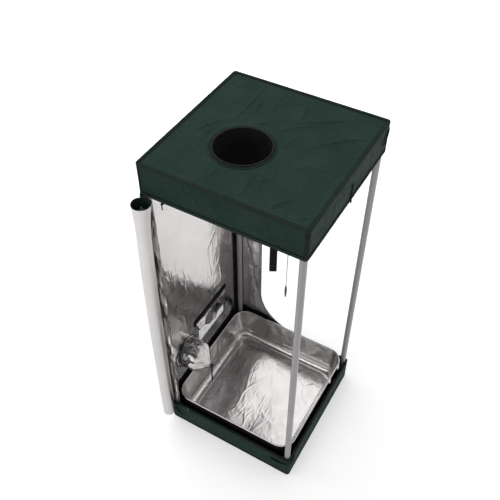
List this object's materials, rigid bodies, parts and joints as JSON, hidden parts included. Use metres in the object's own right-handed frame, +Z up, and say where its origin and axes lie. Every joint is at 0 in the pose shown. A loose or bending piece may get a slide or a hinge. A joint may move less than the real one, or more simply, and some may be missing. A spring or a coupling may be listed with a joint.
{
  "type": "grow tent",
  "caption": "Free-standing grow tent: steel pole frame, canvas cap and base, silver lining, netted vent, duct ports, door rolled up at one corner and a loose tray.",
  "frame": {"origin": "centre of the base's underside, on the floor", "axes": "+Z up, +X to the right along the open front, +Y to the back; the closed side wall stands at -X"},
  "size_m": [0.6206, 0.665, 1.5054],
  "materials": {
    "painted_steel": "satin grey powder coat",
    "black_plastic": "matte",
    "green_canvas": "coated canvas, fine weave",
    "black_tape": "woven tape",
    "silver_lining": "crinkled reflective film on cloth",
    "white_net": "fine net",
    "zip_metal": "dark enamel",
    "grey_cord": "braided"
  },
  "bodies": {
    "tent": {"upright_front_left": "painted_steel", "upright_front_right": "painted_steel", "upright_back_left": "painted_steel", "upright_back_right": "painted_steel", "bottom_bar_front": "painted_steel", "bottom_bar_back": "painted_steel", "bottom_bar_left": "painted_steel", "bottom_bar_right": "painted_steel", "top_bar_front": "painted_steel", "top_bar_back": "painted_steel", "top_bar_left": "painted_steel", "top_bar_right": "painted_steel", "corner_bottom_front_left": "black_plastic", "corner_bottom_front_right": "black_plastic", "corner_bottom_back_left": "black_plastic", "corner_bottom_back_right": "black_plastic", "corner_top_front_left": "black_plastic", "corner_top_front_right": "black_plastic", "corner_top_back_left": "black_plastic", "corner_top_back_right": "black_plastic", "roof_panel": "green_canvas", "cap_band": "green_canvas", "cap_binding": "black_tape", "cap_zip_tape": "black_tape", "cap_tie": "black_tape", "floor_panel": "black_tape", "base_band": "green_canvas", "base_binding": "black_tape", "base_zip_tape": "black_tape", "port_ring": "black_tape", "port_sleeve": "black_tape", "left_wall": "silver_lining", "back_wall": "silver_lining", "back_zip_tape": "black_tape", "wall_tape": "black_tape", "door_hem": "silver_lining", "vent_net": "white_net", "vent_hem": "silver_lining", "vent_hook_strip": "black_tape", "side_port_ring": "black_tape", "side_port_sleeve": "silver_lining", "side_port_tie": "black_tape"},
    "front_bar": {"hanging_bar_front": "painted_steel", "bar_clip_front_left": "black_plastic", "bar_clip_front_right": "black_plastic", "cord_knot": "black_tape", "tie_cord": "grey_cord", "cord_toggle": "black_plastic"},
    "back_bar": {"hanging_bar_back": "painted_steel", "bar_clip_back_left": "black_plastic", "bar_clip_back_right": "black_plastic"},
    "strap": {"hanging_strap": "black_tape"},
    "door_roll": {"rolled_door": "silver_lining"},
    "loose_tray": {"tray": "silver_lining", "tray_rim": "silver_lining"},
    "flap": {"vent_flap": "silver_lining"},
    "slider_top": {"zip_slider_top": "zip_metal"},
    "slider_bottom": {"zip_slider_bottom": "zip_metal"},
    "pull_top": {"zip_pull_top": "zip_metal"},
    "pull_bottom": {"zip_pull_bottom": "zip_metal"}
  },
  "joints": [
    {"name": "front_bar_slide", "type": "slide", "parent": "tent", "child": "front_bar", "axis": [0, 1, 0], "range_m": [-0.018, 0.022]},
    {"name": "back_bar_slide", "type": "slide", "parent": "tent", "child": "back_bar", "axis": [0, 1, 0], "range_m": [-0.15, 0.018]},
    {"name": "strap_swing", "type": "hinge", "parent": "front_bar", "child": "strap", "pos_m": [0.139, -0.2, 1.4825], "axis": [1, 0, 0], "range_deg": [-32, 40]},
    {"name": "door_swing", "type": "hinge", "parent": "tent", "child": "door_roll", "pos_m": [-0.29925, -0.3019, 0.09], "axis": [0, 0, 1], "range_deg": [-90, 0]},
    {"name": "tray_lift", "type": "slide", "parent": "tent", "child": "loose_tray", "axis": [0, 0, 1], "range_m": [0, 0.08]},
    {"name": "vent_flap_lift", "type": "hinge", "parent": "tent", "child": "flap", "pos_m": [-0.29215, 0, 0.4337], "axis": [0, -1, 0], "range_deg": [0, 150]},
    {"name": "slider_top_slide", "type": "slide", "parent": "tent", "child": "slider_top", "axis": [1, 0, 0], "range_m": [0, 0.47]},
    {"name": "slider_bottom_slide", "type": "slide", "parent": "tent", "child": "slider_bottom", "axis": [1, 0, 0], "range_m": [0, 0.47]},
    {"name": "pull_top_turn", "type": "hinge", "parent": "slider_top", "child": "pull_top", "pos_m": [-0.212, -0.3029, 1.37115], "axis": [-1, 0, 0], "range_deg": [0, 150]},
    {"name": "pull_bottom_turn", "type": "hinge", "parent": "slider_bottom", "child": "pull_bottom", "pos_m": [-0.212, -0.3029, 0.13205], "axis": [-1, 0, 0], "range_deg": [0, 150]}
  ]
}
